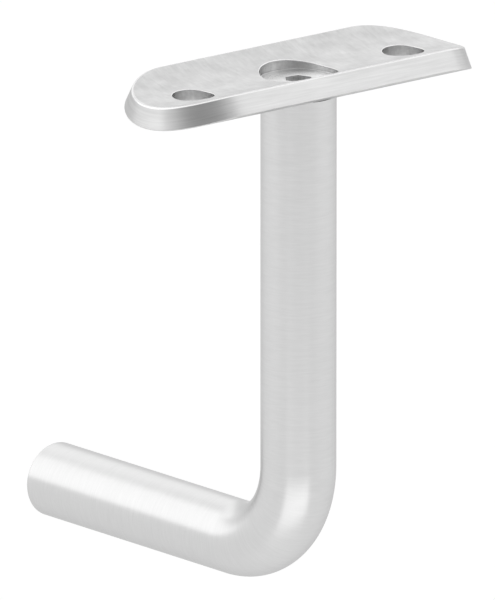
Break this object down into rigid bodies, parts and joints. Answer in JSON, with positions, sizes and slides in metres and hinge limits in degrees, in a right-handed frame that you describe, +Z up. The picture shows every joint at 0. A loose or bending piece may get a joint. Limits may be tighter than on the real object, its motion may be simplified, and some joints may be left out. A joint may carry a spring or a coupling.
{
  "type": "handrail bracket",
  "caption": "Bent round steel bar carrying a curved saddle plate for a round handrail, held by a countersunk hex-socket screw.",
  "frame": {"origin": "centre of the bar's cut end, in the plane y = 0 of the wall or post", "axes": "+Z up towards the rail, +Y out of the cut end into the wall, +X along the rail and the plate's long axis"},
  "size_m": [0.0632, 0.0725, 0.087],
  "materials": {
    "plate_steel": "stainless, brushed along the plate's length, duller inside the seat",
    "bar_steel": "stainless, finely brushed round the bar",
    "screw_steel": "stainless, bright, turned"
  },
  "bodies": {
    "root": {"saddle_plate": "plate_steel", "support_bar": "bar_steel", "plate_screw": "screw_steel"}
  },
  "joints": []
}
